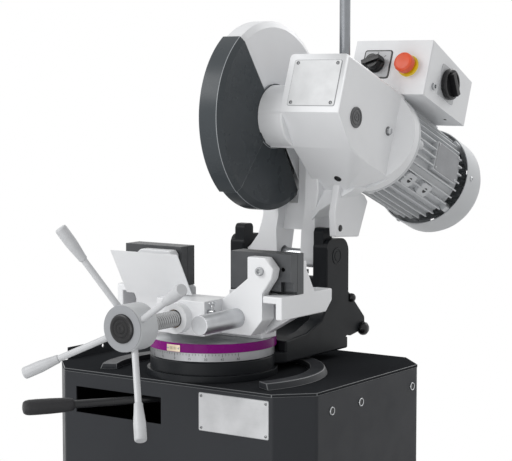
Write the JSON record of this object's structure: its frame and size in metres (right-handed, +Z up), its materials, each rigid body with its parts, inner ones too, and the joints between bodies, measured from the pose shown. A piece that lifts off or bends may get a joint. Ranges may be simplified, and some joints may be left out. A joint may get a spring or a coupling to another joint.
{
  "type": "cold saw",
  "caption": "Manual metal-cutting cold saw: a tilting saw head with geared motor and guarded blade on a swivel arm over a screw vise, on a cabinet stand.",
  "frame": {"origin": "on the floor, in the middle of the four anchor holes of the stand", "axes": "+Z up, +X to the operator's right, -Y towards the operator"},
  "size_m": [0.596, 0.9877, 1.7233],
  "materials": {
    "stand_paint": "satin",
    "plate_metal": "brushed",
    "black_plastic": "moulded",
    "bright_steel": "machined",
    "dark_casting": "painted",
    "index_paint": "satin",
    "brass_plate": "satin",
    "white_paint": "painted",
    "jaw_steel": "blackened",
    "bronze": "machined",
    "black_paint": "blackened",
    "black_rubber": "moulded",
    "grey_paint": "painted",
    "grey_plastic": "moulded",
    "guard_paint": "satin",
    "winding": "varnished",
    "red_plastic": "moulded"
  },
  "bodies": {
    "stand": {"stand_cabinet": "stand_paint", "stand_top": "stand_paint", "splash_plate": "stand_paint", "coolant_dam": "stand_paint", "front_plate": "plate_metal", "side_fittings": "black_plastic", "clamp_bolt": "bright_steel", "turntable_flange": "dark_casting", "base_disc": "bright_steel", "index_ring": "index_paint", "pointer_plate": "brass_plate", "vise_base": "white_paint", "fixed_jaws": "jaw_steel", "fixed_jaw_screws": "bright_steel", "guide_bar": "bright_steel", "screw_bush": "bronze"},
    "lock_lever": {"lock_lever": "black_paint", "lock_grip": "black_rubber"},
    "jaw": {"moving_jaw": "white_paint", "moving_jaw_plates": "jaw_steel", "jaw_screws": "bright_steel", "chip_deflector": "white_paint", "vise_nut": "bronze", "stop_pin": "bright_steel"},
    "handwheel": {"vise_screw": "bright_steel", "thrust_nut": "bright_steel", "handwheel_hub": "grey_paint", "hub_cap": "black_plastic", "spokes": "bright_steel", "spoke_grips": "grey_plastic"},
    "swivel": {"swivel_casting": "dark_casting", "scale_ring": "bright_steel", "pivot_shaft": "bright_steel", "pivot_plugs": "dark_casting", "stop_bolt": "bright_steel"},
    "head": {"head_casting": "white_paint", "pivot_bushes": "bronze", "head_plate": "plate_metal", "plugs": "dark_casting", "guard_hood": "white_paint", "guard_lower": "guard_paint", "spindle_bearings": "bright_steel", "motor_frame": "grey_paint", "stator": "winding", "end_shield": "grey_paint", "fan_cover": "grey_paint", "control_box": "white_paint", "control_panel": "white_paint", "switch_plates": "grey_plastic", "feed_lever": "bright_steel", "lever_grip": "black_rubber"},
    "guard": {"guard_front": "guard_paint"},
    "spindle": {"spindle": "bright_steel", "blade": "bright_steel"},
    "worm": {"worm_shaft": "bright_steel"},
    "rotor": {"rotor": "bright_steel"},
    "stop_button": {"stop_button": "red_plastic"},
    "selector_knob": {"selector_knob": "black_plastic"},
    "main_switch": {"main_switch": "black_plastic"},
    "grip_button": {"grip_button": "red_plastic"}
  },
  "joints": [
    {"name": "lock_lever_turn", "type": "hinge", "parent": "stand", "child": "lock_lever", "pos_m": [0.02, -0.113, 0.757], "axis": [0, 0, 1], "range_deg": [-24, 8]},
    {"name": "handwheel_spin", "type": "hinge", "parent": "stand", "child": "handwheel", "pos_m": [0.02, -0.113, 0.9151], "axis": [0, 1, 0], "range_deg": [-5400, 0]},
    {"name": "jaw_slide", "type": "slide", "parent": "stand", "child": "jaw", "axis": [0, 1, 0], "range_m": [-0.09, 0]},
    {"name": "swivel_turn", "type": "hinge", "parent": "stand", "child": "swivel", "pos_m": [0.02, -0.113, 0.84], "axis": [0, 0, 1], "range_deg": [-45, 45]},
    {"name": "head_tilt", "type": "hinge", "parent": "swivel", "child": "head", "pos_m": [0.02, 0.144, 1.004], "axis": [1, 0, 0], "range_deg": [0, 51]},
    {"name": "guard_swing", "type": "hinge", "parent": "head", "child": "guard", "pos_m": [0.02, 0.059, 1.278], "axis": [1, 0, 0], "range_deg": [-76.5, 0]},
    {"name": "motor_spin", "type": "hinge", "parent": "head", "child": "rotor", "pos_m": [0.1625, 0.06366, 1.29014], "axis": [0, 0.9336, -0.3584], "continuous": true},
    {"name": "worm_spin", "type": "hinge", "parent": "head", "child": "worm", "pos_m": [0.1625, 0.07763, 1.32655], "axis": [0, 0.9336, -0.3584], "continuous": true},
    {"name": "spindle_spin", "type": "hinge", "parent": "head", "child": "spindle", "pos_m": [0.02, 0.059, 1.278], "axis": [1, 0, 0], "continuous": true},
    {"name": "stop_push", "type": "slide", "parent": "head", "child": "stop_button", "axis": [0, 0.9336, -0.3584], "range_m": [0, 0.005], "stiffness_N_per_m": 300, "springref_m": -0.002},
    {"name": "selector_turn", "type": "hinge", "parent": "head", "child": "selector_knob", "pos_m": [0.152, 0.11885, 1.43391], "axis": [0, 0.9336, -0.3584], "range_deg": [-45, 45]},
    {"name": "main_switch_turn", "type": "hinge", "parent": "head", "child": "main_switch", "pos_m": [0.27, 0.33932, 1.33856], "axis": [1, 0, 0], "range_deg": [0, 90]},
    {"name": "grip_button_push", "type": "slide", "parent": "head", "child": "grip_button", "axis": [0, 0, -1], "range_m": [0, 0.004], "stiffness_N_per_m": 300, "springref_m": -0.003}
  ],
  "couplings": [
    {"joint": "jaw_slide", "follows": "handwheel_spin", "m_per_rad": 0.00095493},
    {"joint": "guard_swing", "follows": "head_tilt", "ratio": -1.5},
    {"joint": "worm_spin", "follows": "motor_spin", "ratio": -0.44444},
    {"joint": "spindle_spin", "follows": "motor_spin", "ratio": -0.012346}
  ]
}
